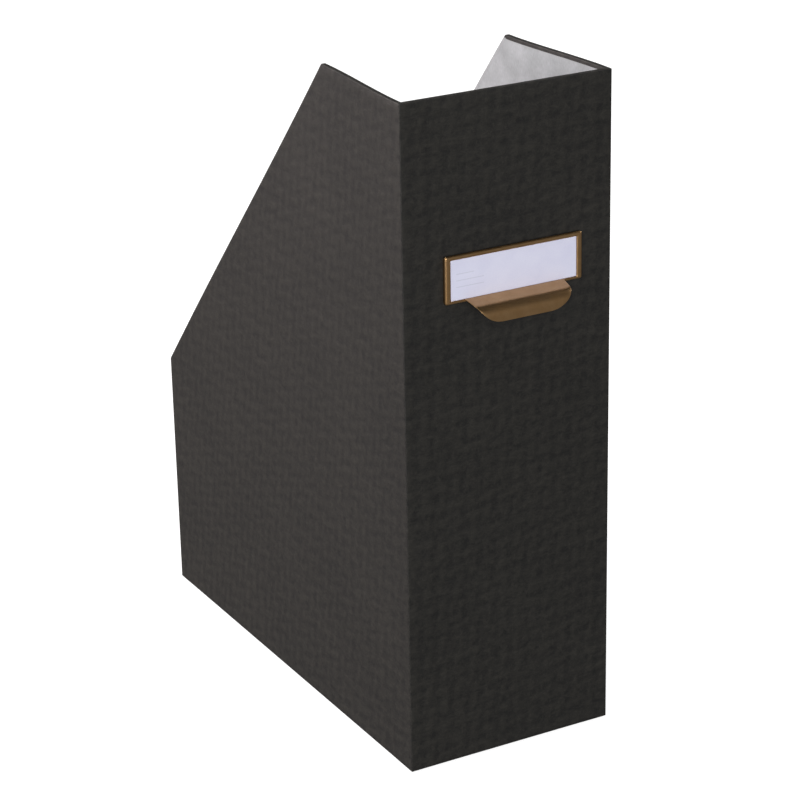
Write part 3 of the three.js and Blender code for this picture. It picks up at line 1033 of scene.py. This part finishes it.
WHITE = (1.0, 1.0, 1.0)
# Each lamp: azimuth and elevation in degrees, distance and size in metres, power in watts, and colour.
LAMPS = {
    "key": (-121, 20, 2.0, 1.6, 41.5, (1.0, 0.89, 0.885)),
    "fill": (-23, 14, 2.2, 1.6, 31, WHITE),
    "top": (-110, 68, 1.8, 1.4, 24, WHITE),
    "side": (90, 27, 2.2, 0.8, 22, WHITE),
}

WORLD_BRIGHT_SIDE = math.radians(-50)  # azimuth
WORLD_STRENGTHS = (0.08, 0.4)  # on the side away from it, and on its own side
WORLD_OVERHEAD = 0.12  # the share of its strength that is left overhead
WORLD_FADE = (0.2, 0.8)  # from and to which upward part of a direction it fades


def direction(azimuth, elevation):
    """The way from the object towards a place at that angle. Azimuth 0 is in front of it."""
    return Vector((
        math.sin(azimuth) * math.cos(elevation),
        -math.cos(azimuth) * math.cos(elevation),
        math.sin(elevation),
    ))


def add_camera():
    data = bpy.data.cameras.new("camera")
    data.lens = LENS
    data.sensor_width = SENSOR_WIDTH
    data.clip_start = 0.05
    data.clip_end = 50
    camera = link("camera", data)
    back = direction(AZIMUTH, ELEVATION)
    camera.location = AIM + back * DISTANCE
    camera.rotation_mode = "QUATERNION"
    camera.rotation_quaternion = (-back).to_track_quat("-Z", "Y") @ Quaternion((0, 0, 1), TILT)
    bpy.context.scene.camera = camera


def add_floor():
    mesh = bmesh.new()
    bmesh.ops.create_grid(mesh, x_segments=4, y_segments=4, size=FLOOR_REACH)
    data = bpy.data.meshes.new("floor")
    mesh.to_mesh(data)
    mesh.free()
    floor = link("floor", data)
    floor.location.z = -FLOOR_DROP
    finish = Finish("pale_floor")
    finish.set(Base_Color=(FLOOR_GREY, FLOOR_GREY, FLOOR_GREY, 1), Roughness=0.9, Specular_IOR_Level=0.1)
    finish.set(Emission_Color=(1, 1, 1, 1), Emission_Strength=FLOOR_GLOW)
    data.materials.append(finish.material)
    floor.visible_diffuse = False
    floor.visible_glossy = False


def add_light(name, azimuth, elevation, distance, size, power, colour):
    data = bpy.data.lights.new(name, "AREA")
    data.shape = "SQUARE"
    data.size = size
    data.energy = power
    data.color = colour
    lamp = link(name, data)
    towards = direction(math.radians(azimuth), math.radians(elevation))
    lamp.location = Vector((0, 0, HEIGHT / 2)) + towards * distance
    lamp.rotation_mode = "QUATERNION"
    lamp.rotation_quaternion = (-towards).to_track_quat("-Z", "Y")


def add_world():
    """Soft light from all round, strongest from one side, that fades overhead. The camera sees white."""
    world = bpy.data.worlds.new("studio")
    world.use_nodes = True
    tree = world.node_tree
    background = tree.nodes["Background"]
    background.inputs["Color"].default_value = (1, 1, 1, 1)
    place = tree.nodes.new("ShaderNodeTexCoord")

    def facing(way, found, wanted):
        toward = tree.nodes.new("ShaderNodeVectorMath")
        toward.operation = "DOT_PRODUCT"
        toward.inputs[1].default_value = way
        tree.links.new(place.outputs["Generated"], toward.inputs[0])
        fit = tree.nodes.new("ShaderNodeMapRange")
        for name, value in zip(("From Min", "From Max", "To Min", "To Max"), (*found, *wanted)):
            fit.inputs[name].default_value = value
        tree.links.new(toward.outputs["Value"], fit.inputs["Value"])
        return fit.outputs[0]

    around = facing(direction(WORLD_BRIGHT_SIDE, 0), (-1, 1), WORLD_STRENGTHS)
    fade = facing((0, 0, 1), WORLD_FADE, (1, WORLD_OVERHEAD))
    light = tree.nodes.new("ShaderNodeMath")
    light.operation = "MULTIPLY"
    tree.links.new(around, light.inputs[0])
    tree.links.new(fade, light.inputs[1])
    path = tree.nodes.new("ShaderNodeLightPath")
    strength = tree.nodes.new("ShaderNodeMix")
    strength.inputs[3].default_value = 1.0
    tree.links.new(path.outputs["Is Camera Ray"], strength.inputs[0])
    tree.links.new(light.outputs[0], strength.inputs[2])
    tree.links.new(strength.outputs[0], background.inputs["Strength"])
    bpy.context.scene.world = world


add_camera()
add_floor()
for name, settings in LAMPS.items():
    add_light(name, *settings)
add_world()
bpy.context.scene.view_settings.view_transform = "Standard"
bpy.context.scene.view_settings.look = "None"
